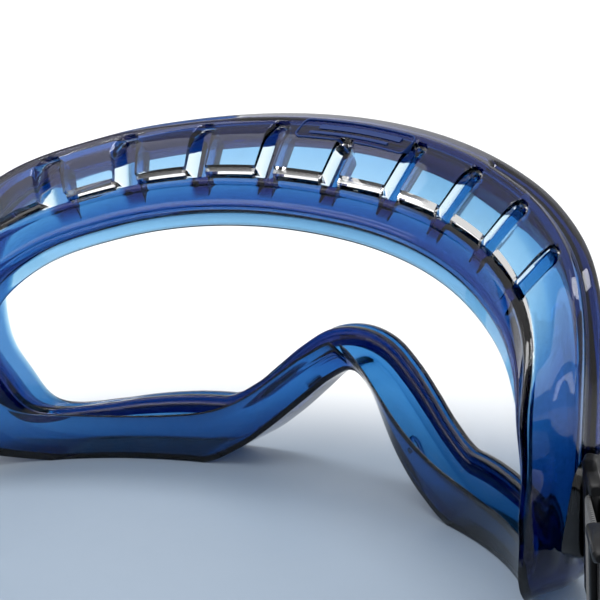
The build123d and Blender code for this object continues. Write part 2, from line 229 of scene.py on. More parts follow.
def ring_profile(row):
    """Corners of the lens ring from its outer front edge to the wall's inner side: (point, radius,
    arc points)."""
    window = row[4]
    groove_rear = GROOVE_FRONT + GROOVE_WIDTH
    recess = max(window - RING_LAND, WALL + 0.6)
    return [
        (ring_point(row, 0.0, 0.0), 1.6, 4),
        (ring_point(row, window, 0.0), 0.9, 3),
        (ring_point(row, window, GROOVE_FRONT), 0.3, 1),
        (ring_point(row, window - GROOVE_DEPTH, GROOVE_FRONT), 0.3, 1),
        (ring_point(row, window - GROOVE_DEPTH, groove_rear), 0.3, 1),
        (ring_point(row, window, groove_rear), 0.3, 1),
        (ring_point(row, window, RING_DEPTH - 0.6), 0.9, 3),
        (ring_point(row, window - 1.6, RING_DEPTH - 0.6), 0.3, 1),
        (ring_point(row, window - 2.2, RING_DEPTH), 0.5, 2),
        (ring_point(row, recess, RING_DEPTH), 0.6, 2),
        (ring_point(row, recess, RING_FRONT), 0.9, 2),
        (ring_point(row, WALL, RING_FRONT), 0.5, 2),
    ]


# Rear side of the face flange, from its free lip back to its ring: share of the width from
# the ring, and thickness.
FLANGE_BANDS = (
    (1.00, 0.55), (0.97, 1.00), (0.71, 1.20), (0.68, 2.20), (0.62, 2.50), (0.60, 2.00),
    (0.57, 2.00), (0.55, 2.50), (0.49, 2.40), (0.45, 1.80), (0.15, 1.80), (0.11, 2.40),
    (0.03, 2.40),
)
THIN_BELOW = 30.0            # the flange is plain and thin round the cheeks and the nose
FULL_ABOVE = 50.0
THIN = 0.9
BEAD_OVERHANG = 0.25         # the flange's root stands this far outside the wall
BEAD_THIN = 0.8
BEAD_FULL = 1.2
FLANGE_FRONT = ((0.35, -1.4), (0.62, -1.6), (0.70, 0.0), (0.95, 0.0))


def flange_profile(row):
    """Corners of the flange: its front, the free lip, the stepped rear side and the bead."""
    notch = NOTCH_DEPTH * max(0.0, 1 - abs(row[2]) / NOTCH_HALF_WIDTH) if row[3] < NOSE_TOP else 0.0
    width = lip_distance(row) - notch - row[5]
    upper = smooth((row[3] - THIN_BELOW) / (FULL_ABOVE - THIN_BELOW))
    corners = []
    for share, offset in FLANGE_FRONT:
        distance = row[5] + WALL + (width - WALL) * share
        corners.append((flange_point(row, distance, offset * upper), 0.5, 1))
    for share, thickness in FLANGE_BANDS:
        thin = min(thickness, THIN)
        place = flange_point(row, row[5] + width * share, thin + (thickness - thin) * upper)
        corners.append((place, 0.3, 2))
    bead = BEAD_THIN + (BEAD_FULL - BEAD_THIN) * upper
    corners.append((flange_point(row, row[5] - BEAD_OVERHANG, bead), 0.4, 2))
    return corners


def arc_length_table():
    """Distance along the outer edge of the frame from the top centre, by station."""
    table = [0.0]
    for k in range(round(LAST / ARC_STEP)):
        a = on_line(station(k * ARC_STEP), 0.0)
        b = on_line(station((k + 1) * ARC_STEP), 0.0)
        table.append(table[-1] + math.hypot(b[0] - a[0], b[1] - a[1]))
    return table


ARC = arc_length_table()


def along(u):
    """Signed distance along the outer edge from the top centre to a station."""
    place = min(abs(u), LAST) / ARC_STEP
    k = min(int(place), len(ARC) - 2)
    return math.copysign(ARC[k] + (ARC[k + 1] - ARC[k]) * (place - k), u)


def channel_distance(u, from_ring):
    """Distance of a point of the wall from the middle line of the nearest channel."""
    here = along(u)
    nearest = min(CHANNELS, key=lambda c: abs(along(c) - here))
    across = here - along(nearest)
    start = CENTRE_START if nearest == 0.0 else CHANNEL_START
    return math.hypot(across, min(0.0, from_ring - start))


def wall_offset(u, from_ring, length):
    """How far the wall stands outside its straight line, panels up and channels down, and how
    much thicker it is there."""
    size = min(1.0, length / FULL_WALL)
    to_face = length - from_ring
    rise = PANEL_RISE * size * smooth(from_ring / (PANEL_EDGE * size))
    rise *= smooth((to_face - SLOT_REAR * size) / ((SLOT_FRONT - SLOT_REAR) * size))
    rise *= smooth((SIDE_PANEL_END - abs(u)) / SIDE_PANEL_FADE)
    gap = channel_distance(u, from_ring) - CHANNEL_HALF
    mask = 1 - smooth(gap / CHANNEL_SIDE)
    return rise * (1 - mask) - CHANNEL_DROP * mask, CHANNEL_SWELL * size * mask


def wall_rows(length):
    """Distances of the wall's rows from the face ring."""
    size = min(1.0, length / FULL_WALL)
    rows = [SLOT_REAR * size, SLOT_FRONT * size, SLOT_FRONT * size + SLOT_BEVEL * size]
    start = rows[-1]
    rest = WALL_ROWS - len(rows)
    end = length - WALL_END * size
    for k in range(rest):
        rows.append(start + (end - start) * (k + 1) / rest)
    return rows


def wall_lines(row, u):
    """Outer and inner rows of the wall, both from the face ring to the lens ring."""
    outer_end = Vector(flange_point(row, row[5]))
    outer_start = Vector(ring_point(row, 0.0, RING_DEPTH))
    inner_end = Vector(flange_point(row, row[5] + WALL))
    inner_start = Vector(ring_point(row, WALL, RING_DEPTH))
    line = outer_start - outer_end
    length = line.length
    normal = Vector((line.y, -line.x)) / length
    outer, inner = [], []
    for distance in wall_rows(length):
        share = distance / length
        lift, swell = wall_offset(u, length - distance, length)
        outer.append(outer_end.lerp(outer_start, share) + normal * lift)
        inner.append(inner_end.lerp(inner_start, share) + normal * (lift - swell))
    return outer, inner


RIM_GROOVES = ((1.5, 7.6), (-7.6, -1.75))   # station ranges of the grooves along the rim
RIM_DEPTHS = (6.4, 5.6, 4.9, 4.1, 3.3, 2.6, 2.0)
RIM_DROP = (0.0, 0.2, 1.1, 1.4, 1.1, 0.2, 0.0)
RIM_FADE = 0.12              # stations over which a groove runs out


def rim_rows(row, u):
    """Outer side of the lens ring, rear to front, with the long grooves beside the rim."""
    points = []
    for depth, drop in zip(RIM_DEPTHS, RIM_DROP):
        share = 0.0
        for start, end in RIM_GROOVES:
            share = max(share, min(smooth((u - start) / RIM_FADE), smooth((end - u) / RIM_FADE)))
        distance, y = ring_point(row, 0.0, depth)
        points.append(Vector((distance + drop * share, y)))
    return points


def profile(u):
    """Closed cross-section at a station, and where its inner and outer wall rows start."""
    row = station(u)
    outer, inner = wall_lines(row, u)
    rim = rim_rows(row, u)
    points = rounded_line(rim[-1], ring_profile(row), inner[-1])
    inner_first = len(points)
    points += reversed(inner)
    points += rounded_line(inner[0], flange_profile(row), outer[0])
    outer_first = len(points)
    points += outer
    points += rim
    places = []
    for distance, y in points:
        x, z = on_line(row, distance)
        places.append(at(x, y, z))
    return places, inner_first, outer_first


def station_list():
    """Stations round the frame, closer together beside each channel and at the slots' ends."""
    steps = round(LAST / STATION_STEP)
    stations = {round(k * STATION_STEP, 4) for k in range(-steps, steps)}
    half = STATION_STEP / 2
    for channel in CHANNELS:
        pace = (along(channel + half) - along(channel - half)) / STATION_STEP
        stations = {u for u in stations if abs(u - channel) * pace > CHANNEL_REACH}
        for offset in CHANNEL_OFFSETS:
            stations |= {channel + offset / pace, channel - offset / pace}
    for k in range(1, NOSE_STEPS):
        stations |= {LAST - k * NOSE_STEP, k * NOSE_STEP - LAST}
    return sorted(stations)


def slot_spans(stations):
    """First and last station index of each slot, between neighbouring channels."""
    spans = []
    for left, right in zip(CHANNELS, CHANNELS[1:]):
        inside = []
        for k, u in enumerate(stations):
            from_left = along(u) - along(left)
            to_right = along(right) - along(u)
            if min(from_left, to_right) > SLOT_SIDE - SLOT_TOLERANCE:
                inside.append(k)
        spans.append((inside[0], inside[-1]))
    return spans


def skin(count, size, closed=False):
    """Faces over count rings of size points each: joined end to end, or with flat ends."""
    faces = []
    for k in range(count if closed else count - 1):
        after = (k + 1) % count
        for j in range(size):
            beside = (j + 1) % size
            faces.append([k * size + j, k * size + beside,
                          after * size + beside, after * size + j])
    if not closed:
        faces.append(list(range(size))[::-1])
        faces.append([(count - 1) * size + j for j in range(size)])
    return faces


def frame_mesh():
    """Vertices and faces of the moulding: one closed skin with a through slot per panel."""
    stations = station_list()
    rings = []
    for u in stations:
        places, inner_first, outer_first = profile(u)
        rings.append(places)
    size = len(rings[0])
    count = len(rings)
    inner_last = inner_first + WALL_ROWS - 1
    holes = set()
    faces = []
    for start, end in slot_spans(stations):
        for k in range(start, end):
            holes |= {(k, outer_first), (k, inner_last - 1)}
            for edge in (0, 1):
                outer = outer_first + edge
                inner = inner_last - edge
                quad = [k * size + outer, (k + 1) * size + outer,
                        (k + 1) * size + inner, k * size + inner]
                faces.append(quad if edge == 0 else quad[::-1])
        for k, flip in ((start, True), (end, False)):
            quad = [k * size + outer_first, k * size + outer_first + 1,
                    k * size + inner_last - 1, k * size + inner_last]
            faces.append(quad[::-1] if flip else quad)
    for k in range(count):
        after = (k + 1) % count
        for j in range(size):
            if (k, j) in holes:
                continue
            beside = (j + 1) % size
            faces.append([k * size + j, k * size + beside,
                          after * size + beside, after * size + j])
    vertices = [place for ring in rings for place in ring]
    return vertices, faces


def mesh_object(name, vertices, faces, angle=40.0):
    """Object of a mesh, shaded smooth except over edges sharper than angle."""
    mesh = bpy.data.meshes.new(name)
    mesh.from_pydata([tuple(v) for v in vertices], [], faces)
    mesh.validate()
    for polygon in mesh.polygons:
        polygon.use_smooth = True
    mesh.set_sharp_from_angle(angle=math.radians(angle))
    piece = bpy.data.objects.new(name, mesh)
    bpy.context.scene.collection.objects.link(piece)
    return piece


# ---- Materials ----
def principled(name):
    material = bpy.data.materials.new(name)
    material.use_nodes = True
    return material, material.node_tree, material.node_tree.nodes["Principled BSDF"]


def noise(tree, scale, detail=3.0):
    """Noise over the piece's own coordinates, in metres."""
    place = tree.nodes.new("ShaderNodeTexCoord")
    texture = tree.nodes.new("ShaderNodeTexNoise")
    texture.inputs["Scale"].default_value = scale
    texture.inputs["Detail"].default_value = detail
    tree.links.new(place.outputs["Object"], texture.inputs["Vector"])
    return texture.outputs["Fac"]


def remap(tree, value, low, high):
    node = tree.nodes.new("ShaderNodeMapRange")
    node.inputs["From Min"].default_value = 0.3
    node.inputs["From Max"].default_value = 0.7
    node.inputs["To Min"].default_value = low
    node.inputs["To Max"].default_value = high
    tree.links.new(value, node.inputs["Value"])
    return node.outputs["Result"]


def bump(tree, shader, height, distance, strength=1.0):
    node = tree.nodes.new("ShaderNodeBump")
    node.inputs["Distance"].default_value = distance
    node.inputs["Strength"].default_value = strength
    tree.links.new(height, node.inputs["Height"])
    tree.links.new(node.outputs["Normal"], shader.inputs["Normal"])


def absorb(tree, colour, density):
    volume = tree.nodes.new("ShaderNodeVolumeAbsorption")
    volume.inputs["Color"].default_value = colour + (1.0,)
    volume.inputs["Density"].default_value = density
    tree.links.new(volume.outputs["Volume"], tree.nodes["Material Output"].inputs["Volume"])


def combined(tree, operation, *values):
    """Math node over sockets and plain numbers."""
    node = tree.nodes.new("ShaderNodeMath")
    node.operation = operation
    for k, value in enumerate(values):
        if isinstance(value, float):
            node.inputs[k].default_value = value
        else:
            tree.links.new(value, node.inputs[k])
    return node.outputs["Value"]


def blend(tree, shader, low, high, factor):
    """Base colour that runs from one colour to another."""
    mix = tree.nodes.new("ShaderNodeMix")
    mix.data_type = "RGBA"
    mix.inputs["A"].default_value = low
    mix.inputs["B"].default_value = high
    tree.links.new(factor, mix.inputs["Factor"])
    tree.links.new(mix.outputs["Result"], shader.inputs["Base Color"])


def see_through(name, index, tint, density):
    """Glossy transparent material, tinted through its thickness."""
    material, tree, shader = principled(name)
    shader.inputs["Base Color"].default_value = WHITE
    shader.inputs["Transmission Weight"].default_value = 1.0
    shader.inputs["IOR"].default_value = index
    absorb(tree, tint, density)
    return material, tree, shader


BLUE_TINT = (0.0, 0.50, 0.77)
BLUE_DENSITY = 1750.0        # per metre
BLUE_IOR = 1.46
LENS_TINT = (0.9, 0.97, 1.0)
LENS_DENSITY = 12.0
LENS_IOR = 1.5
WHITE = (1.0, 1.0, 1.0, 1.0)
PLASTIC_SPECULAR = 0.22


def soft_blue():
    """Translucent blue moulding with slight ripples."""
    material, tree, shader = see_through("soft_blue_moulding", BLUE_IOR, BLUE_TINT, BLUE_DENSITY)
    tree.links.new(remap(tree, noise(tree, 60.0), 0.015, 0.05), shader.inputs["Roughness"])
    bump(tree, shader, combined(tree, "MULTIPLY", noise(tree, 90.0, 2.0), 0.35), 0.00025, 0.6)
    return material


def clear_lens():
    material, tree, shader = see_through("clear_lens", LENS_IOR, LENS_TINT, LENS_DENSITY)
    tree.links.new(remap(tree, noise(tree, 25.0), 0.0, 0.012), shader.inputs["Roughness"])
    return material


def moulded_plastic(name, colour):
    """Fine-grained moulded plastic with worn, smoother patches."""
    material, tree, shader = principled(name)
    worn = tuple(min(1.0, c * 1.6 + 0.002) for c in colour)
    blend(tree, shader, colour + (1.0,), worn + (1.0,), noise(tree, 70.0, 5.0))
    tree.links.new(remap(tree, noise(tree, 140.0, 4.0), 0.28, 0.5), shader.inputs["Roughness"])
    bump(tree, shader, noise(tree, 2600.0, 2.0), 0.00006, 0.35)
    shader.inputs["Specular IOR Level"].default_value = PLASTIC_SPECULAR
    return material


def brushed_steel():
    material, tree, shader = principled("pin_steel")
    shader.inputs["Base Color"].default_value = (0.6, 0.6, 0.61, 1.0)
    shader.inputs["Metallic"].default_value = 1.0
    tree.links.new(remap(tree, noise(tree, 400.0, 5.0), 0.2, 0.42), shader.inputs["Roughness"])
    return material


BLUE = soft_blue()
CLEAR = clear_lens()
RELIEF = moulded_plastic("soft_blue_relief", (0.006, 0.022, 0.10))
BLACK = moulded_plastic("black_moulded_plastic", (0.003, 0.0033, 0.004))
STEEL = brushed_steel()


def finish_piece(piece, body, material, slot, *nodes):
    piece.data.materials.clear()
    piece.data.materials.append(material)
    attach(piece, body)
    if nodes:
        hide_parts(*nodes)


def mirrored(name, vertices, faces, angle=40.0):
    """The left object of a mesh and its mirror image on the right, each with its side."""
    for side, sign in (("left", 1), ("right", -1)):
        points = [Vector((sign * v.x, v.y, v.z)) for v in vertices]
        turned = faces if sign == 1 else [face[::-1] for face in faces]
        yield side, mesh_object(f"{name}_{side}", points, turned, angle)


FRAME_NODES = [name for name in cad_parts
               if name.startswith(("frame_", "flange_"))]


def make_frame():
    vertices, faces = frame_mesh()
    piece = mesh_object("soft_frame", vertices, faces)
    finish_piece(piece, "goggles", BLUE, "soft_blue_frame", *FRAME_NODES)


# ---- Plain raised pad on the roof, with two blank bars ----
PAD_CENTRE = (-1.5, 3.5)     # along the edge, behind the lens ring
PAD_HALF = (17.0, 3.2)
PAD_CORNER = 1.6
PAD_LINE = 0.5               # width of the raised outline
PAD_RISE = 0.35
PAD_STEP = 1.2
PAD_SEARCH = 2.0             # the pad lies within this many stations of the top centre
PAD_BARS = ((-1.0, -0.9, 12.5, 0.8), (1.3, 1.4, 12.0, 0.45))   # centre and half size of each
RIDGE = ((-0.5, -0.3), (-0.5, 0.6), (-0.25, 1.0), (0.25, 1.0), (0.5, 0.6), (0.5, -0.3))


def roof_place(across, behind, lift):
    """Place over the roof's outer skin: along the edge from the pad's centre, and behind it."""
    low, high = -PAD_SEARCH, PAD_SEARCH
    for _ in range(HALVINGS):
        middle = (low + high) / 2
        low, high = (middle, high) if along(middle) < across + PAD_CENTRE[0] else (low, middle)
    row = station(low)
    start = Vector(ring_point(row, 0.0, RING_DEPTH))
    end = Vector(flange_point(row, row[5]))
    line = start - end
    normal = Vector((line.y, -line.x)) / line.length
    from_ring = behind + PAD_CENTRE[1]
    offset = wall_offset(low, from_ring, line.length)[0] + lift
    place = start.lerp(end, from_ring / line.length) + normal * offset
    x, z = on_line(row, place.x)
    return at(x, place.y, z)


def divided(outline):
    """Closed outline with its long sides cut into short steps."""
    points = []
    for k, (x, y) in enumerate(outline):
        end_x, end_y = outline[(k + 1) % len(outline)]
        count = max(1, math.ceil(math.hypot(end_x - x, end_y - y) / PAD_STEP))
        points += [(x + (end_x - x) * i / count, y + (end_y - y) * i / count)
                   for i in range(count)]
    return points


def ridge(path, width, closed):
    """Raised line on the roof along a path, rooted a little under the skin."""
    vertices = []
    count = len(path)
    for k, (x, y) in enumerate(path):
        before = path[k - 1] if closed or k else path[0]
        after = path[(k + 1) % count] if closed or k < count - 1 else path[k]
        tangent = Vector((after[0] - before[0], after[1] - before[1])).normalized()
        for side, height in RIDGE:
            vertices.append(roof_place(x - tangent.y * side * width,
                                       y + tangent.x * side * width, height * PAD_RISE))
    return vertices, skin(count, len(RIDGE), closed)


def make_pad():
    parts = [ridge(divided(rounded_rectangle(*PAD_HALF, PAD_CORNER, 5)), PAD_LINE, True)]
    for x, y, half_x, half_y in PAD_BARS:
        count = math.ceil(2 * half_x / PAD_STEP)
        path = [(x - half_x + 2 * half_x * k / count, y) for k in range(count + 1)]
        parts.append(ridge(path, 2 * half_y, False))
    vertices, faces = merged(parts)
    piece = mesh_object("roof_pad_blank", vertices, faces)
    finish_piece(piece, "goggles", RELIEF, "soft_blue_frame")


# ---- Hook-shaped rib inside each foot of the nose arch: station and distance behind the ring ----
HOOK = ((12.9, 5.5), (13.1, 3.4), (13.2, 1.6), (13.05, 0.7), (12.85, 1.3), (12.65, 1.9),
        (12.35, 1.7), (12.05, 1.1))
HOOK_STEPS = 5
RIB_RADIUS = 0.7
RIB_SIDES = 10


def curve_through(points, steps):
    """Smooth line through a row of places."""
    line = []
    last = len(points) - 1
    for k in range(last):
        a, b = points[max(0, k - 1)], points[k]
        c, d = points[k + 1], points[min(last, k + 2)]
        for i in range(steps):
            t = i / steps
            line.append(0.5 * (2 * b + (c - a) * t + (2 * a - 5 * b + 4 * c - d) * t ** 2
                               + (3 * b - a - 3 * c + d) * t ** 3))
    return line + [points[-1]]


def tube(line, radius):
    """Round rod along a line, thinner towards both ends."""
    vertices = []
    last = len(line) - 1
    for k, centre in enumerate(line):
        heading = (line[min(last, k + 1)] - line[max(0, k - 1)]).normalized()
        side = heading.cross(Vector((0.3, 1.0, 0.2))).normalized()
        up = heading.cross(side)
        size = radius * min(1.0, 0.35 + 0.4 * min(k, last - k))
        for j in range(RIB_SIDES):
            turn = 2 * math.pi * j / RIB_SIDES
            vertices.append(centre + (side * math.cos(turn) + up * math.sin(turn)) * size)
    return vertices, skin(last + 1, RIB_SIDES)


def make_ribs():
    places = []
    for u, behind in HOOK:
        row = station(u)
        start = Vector(ring_point(row, WALL, RING_DEPTH))
        end = Vector(flange_point(row, row[5] + WALL))
        place = start.lerp(end, behind / (end - start).length)
        x, z = on_line(row, place.x)
        places.append(at(x, place.y, z))
    vertices, faces = tube(curve_through(places, HOOK_STEPS), RIB_RADIUS / 1000)
    for _, piece in mirrored("nose_foot_rib", vertices, faces):
        finish_piece(piece, "goggles", BLUE, "soft_blue_frame")


# ---- Hard parts and strap: lofts of rounded rectangles ----
PIVOT_Y = 36.0
PIVOT_Z = 30.0
LUG_FACE_X = 98.0
LUG_LENGTH = 20.0
LUG_HEIGHT = 24.0
SIDE_STATIONS = (5.0, 9.0)   # the straight part of the frame's side lies between these
LUG_CORNER = 6.0
LUG_CORNER_STEPS = 6
LUG_GAP = 0.05               # the lug starts this far outside the edge of the lens ring
LUG_SECTIONS = ((0.0, 0.0), (0.5, 0.0), (0.85, 0.15), (1.0, 0.7))   # share of its reach, inset
GAP = 0.2                    # between the lug, the clip and the cap, and between bar and strap
HUB_START = LUG_FACE_X + GAP
HUB_THICKNESS = 3.0
HUB_RADIUS = 11.0
CAP_START = HUB_START + HUB_THICKNESS + GAP
CAP_RADIUS = 5.5
CAP_THICKNESS = 2.5
CAP_EDGE = 0.3
CAP_FACE = ((-1.0, CAP_RADIUS), (-0.4, 5.2), (-0.1, 4.6), (-0.1, 3.4), (-0.6, 3.1), (-0.6, 2.2),
            (-0.1, 1.9), (0.0, 1.2), (0.0, 0.3))
STRAP_WIDTH = 25.0
STRAP_THICKNESS = 1.3
FLARE = math.radians(35.0)
STRAP_STRAIGHT = 50.0
STRAP_CORNER_RADIUS = 45.0
STRAP_CORNER_END = math.radians(50.0)
STRAP_REST_GAP = 0.1
TAIL_LENGTH = 44.0
FOLD_STEPS = 12
STRAIGHT_STEPS = 15
CORNER_STEPS = 24
CLIP_BEND_Y = 45.0
CLIP_PLATE = 3.0
CLIP_HEIGHT = 32.0
CLIP_PLATE_END = 7.5
CLIP_BAR_END = 13.0
HUB_STEPS = 12
ARM_STEPS = 6
CLIP_CORNER = 0.7
CLIP_EDGE = 0.8              # half height of the plate where the hub's round edge starts
CLIP_STRIP = (1.0, 3.0, CLIP_PLATE_END)      # sections behind the bend
GRIP_BACK = 13.0             # small ribs on the clip: place behind and beside the pivot
GRIP_SIDE = 6.0
GRIP_OUT = 1.4
GRIP_HALVES = (2.6, 0.6, 1.1)
HUB_RING = ((-0.5, 7.4), (0.5, 7.6), (0.7, 7.9), (0.7, 9.0), (0.5, 9.3), (-0.5, 9.5))
LATHE_SIDES = 48
HARD_EDGE = 35.0             # edges sharper than this stay sharp on the hard parts
EDGE_BEVEL = 0.2
BEVEL_ANGLE = 40.0
BAR_LENGTH = 2.4
BAR_THICKNESS = 1.6
SLIDER_POSITION = 24.0
SLIDER_LENGTH = 14.0
SLIDER_BAR = 3.0
SLIDER_CORNER = 1.0
SLIDER_INSET = 0.4           # the slider's bars end this far inside its rails
BAR_CORNER = 0.5
RAIL_GAP = 0.5
RAIL_HEIGHT = (CLIP_HEIGHT - STRAP_WIDTH) / 2 - RAIL_GAP
LAYER = BAR_THICKNESS / 2 + GAP + STRAP_THICKNESS / 2
SLIDER_GAP = 0.3
SLIDER_REACH = LAYER + STRAP_THICKNESS / 2 + SLIDER_GAP
ARM_X = HUB_START + CLIP_PLATE / 2
BAR = Vector((ARM_X + CLIP_BAR_END * math.sin(FLARE), CLIP_BEND_Y + CLIP_BAR_END * math.cos(FLARE),
              PIVOT_Z))
REARWARD = Vector((math.sin(FLARE), math.cos(FLARE), 0.0))
INWARD = Vector((-math.cos(FLARE), math.sin(FLARE), 0.0))
UP = Vector((0.0, 0.0, 1.0))


def strap_corner():
    """Where the strap's rounded corner ends, from above, and the radius of its rear arc."""
    angle = FLARE + STRAP_CORNER_END
    along_strap = STRAP_STRAIGHT + STRAP_CORNER_RADIUS * math.sin(angle)
    inward = LAYER + STRAP_CORNER_RADIUS * (1 - math.cos(angle))
    place = BAR + REARWARD * along_strap + INWARD * inward
    return place, place.x / math.cos(STRAP_CORNER_END)


def strap_tilt():
    """Angle at which the strap's rear lower edge comes down to the surface."""
    place, radius = strap_corner()
    reach = place.y + radius * (1 - math.sin(STRAP_CORNER_END)) + STRAP_THICKNESS / 2 - PIVOT_Y
    edge = STRAP_WIDTH / 2
    return math.asin((PIVOT_Z - STRAP_REST_GAP) / math.hypot(reach, edge)) - math.atan2(edge, reach)


TILT = Matrix.Rotation(-strap_tilt(), 3, "X")
PIVOT = Vector((0.0, PIVOT_Y, PIVOT_Z))


def hung(place):
    """Point of the harness swung down about the pivot, as metres of the row frame."""
    return at(*(TILT @ (place - PIVOT) + PIVOT))


def rounded_rectangle(half_u, half_v, radius, count=3):
    """Corners of a rectangle with rounded corners, anticlockwise."""
    radius = min(radius, half_u, half_v)
    points = []
    for quarter, (su, sv) in enumerate(((1, 1), (-1, 1), (-1, -1), (1, -1))):
        for k in range(count + 1):
            angle = math.pi / 2 * (quarter + k / count)
            points.append((su * (half_u - radius) + radius * math.cos(angle),
                           sv * (half_v - radius) + radius * math.sin(angle)))
    return points


def loft(sections, place):
    """Skin of a row of cross-sections with flat ends. A section is its centre, two axes, half
    sizes along them and corner radius."""
    vertices = []
    for centre, u_axis, v_axis, half_u, half_v, radius in sections:
        for u, v in rounded_rectangle(half_u, half_v, radius):
            vertices.append(place(centre + u_axis * u + v_axis * v))
    return vertices, skin(len(sections), len(vertices) // len(sections))


def block(centre, axes, halves, radius, place):
    """Bar along the first axis with rounded long edges and softened ends."""
    soft = min(radius, halves[0] * 0.4)
    sections = []
    for x, inset in ((-halves[0], soft), (-halves[0] + soft, 0), (halves[0] - soft, 0),
                     (halves[0], soft)):
        sections.append((centre + axes[0] * x, axes[1], axes[2], halves[1] - inset * 0.6,
                         halves[2] - inset * 0.6, radius))
    return loft(sections, place)


def lathe(outline, place):
    """Solid of (x, radius) points turned about the pivot axis."""
    vertices = []
    for x, radius in outline:
        for j in range(LATHE_SIDES):
            angle = 2 * math.pi * j / LATHE_SIDES
            vertices.append(place(Vector((x, PIVOT_Y + radius * math.cos(angle),
                                          PIVOT_Z + radius * math.sin(angle)))))
    return vertices, skin(len(outline), LATHE_SIDES)


def merged(parts):
    vertices, faces = [], []
    for some_vertices, some_faces in parts:
        start = len(vertices)
        vertices += some_vertices
        faces += [[start + k for k in face] for face in some_faces]
    return vertices, faces


def pair(name, parts, body, material, slot):
    """The left piece and its mirror image on the right, in place of the CAD nodes of that name."""
    vertices, faces = merged(parts)
    for side, piece in mirrored(f"{name}_visual", vertices, faces, HARD_EDGE):
        bevel = piece.modifiers.new("edges", "BEVEL")
        bevel.width = EDGE_BEVEL / 1000
        bevel.segments = 2
        bevel.limit_method = "ANGLE"
        bevel.angle_limit = math.radians(BEVEL_ANGLE)
        finish_piece(piece, body.replace("SIDE", side), material, slot, f"{name}_{side}")


def plate_sections():
    """The clip's plate: round hub, arm and flared end, in one bent strip."""
    sections = []
    x_axis = Vector((1.0, 0.0, 0.0))
    for k in range(HUB_STEPS + 1):
        back = -HUB_RADIUS * math.cos(math.pi / 2 * k / HUB_STEPS)
        half = max(CLIP_EDGE, math.sqrt(max(0.0, HUB_RADIUS ** 2 - back ** 2)))
        centre = Vector((ARM_X, PIVOT_Y + back, PIVOT_Z))
        sections.append((centre, x_axis, UP, CLIP_PLATE / 2, half, CLIP_CORNER))
    grown = CLIP_HEIGHT / 2
    for k in range(1, ARM_STEPS + 1):
        t = k / ARM_STEPS
        half = HUB_RADIUS + (grown - HUB_RADIUS) * smooth(t)
        centre = Vector((ARM_X, PIVOT_Y + (CLIP_BEND_Y - 1 - PIVOT_Y) * t, PIVOT_Z))
        sections.append((centre, x_axis, UP, CLIP_PLATE / 2, half, CLIP_CORNER))
    for distance in CLIP_STRIP:
        centre = Vector((ARM_X, CLIP_BEND_Y, PIVOT_Z)) + REARWARD * distance
        sections.append((centre, -INWARD, UP, CLIP_PLATE / 2, grown, CLIP_CORNER))
    return sections


def make_clips():
    axes = (REARWARD, INWARD, UP)
    parts = [loft(plate_sections(), hung)]
    rail_half = (CLIP_BAR_END + BAR_LENGTH / 2 - 1) / 2
    rail_z = (CLIP_HEIGHT - RAIL_HEIGHT) / 2
    for sign in (-1, 1):
        centre = BAR + REARWARD * (BAR_LENGTH / 2 - rail_half) + UP * (sign * rail_z)
        halves = (rail_half, CLIP_PLATE / 2, RAIL_HEIGHT / 2)
        parts.append(block(centre, axes, halves, CLIP_CORNER, hung))
        rib = Vector((ARM_X + CLIP_PLATE / 2, PIVOT_Y + GRIP_BACK, PIVOT_Z + sign * GRIP_SIDE))
        parts.append(block(rib - INWARD * GRIP_OUT, axes, GRIP_HALVES, BAR_CORNER, hung))
    parts.append(block(BAR, (UP, REARWARD, INWARD),
                       (CLIP_HEIGHT / 2 - 1, BAR_LENGTH / 2, BAR_THICKNESS / 2), 0.75, hung))
    rim = HUB_START + CLIP_PLATE
    parts.append(lathe([(rim + x, radius) for x, radius in HUB_RING], hung))
    pair("strap_clip", parts, "harness", BLACK, "black_plastic")


def make_caps():
    outer = CAP_START + CAP_THICKNESS
    outline = [(CAP_START, CAP_RADIUS - CAP_EDGE), (CAP_START + CAP_EDGE, CAP_RADIUS)]
    outline += [(outer + x, radius) for x, radius in CAP_FACE]
    pair("pin_cap", [lathe(outline, lambda v: at(*v))], "goggles", BLACK, "black_plastic")


def make_sliders():
    centre = BAR + REARWARD * SLIDER_POSITION
    axes = (REARWARD, INWARD, UP)
    rail_z = (CLIP_HEIGHT - RAIL_HEIGHT) / 2
    depth = SLIDER_REACH + BAR_THICKNESS
    parts = []
    for sign in (-1, 1):
        parts.append(block(centre + UP * (sign * rail_z), axes,
                           (SLIDER_LENGTH / 2, depth, RAIL_HEIGHT / 2), SLIDER_CORNER, hung))
    bar_in = SLIDER_REACH + BAR_THICKNESS / 2
    bar_x = (SLIDER_LENGTH - SLIDER_BAR) / 2
    for along_strap, inward in ((bar_x, -bar_in), (-bar_x, -bar_in), (0.0, bar_in)):
        middle = centre + REARWARD * along_strap + INWARD * inward
        parts.append(block(middle, (UP, REARWARD, INWARD),
                           (CLIP_HEIGHT / 2 - SLIDER_INSET, SLIDER_BAR / 2, BAR_THICKNESS / 2),
                           BAR_CORNER, hung))
    pair("strap_slider", parts, "slider_SIDE", BLACK, "black_plastic")


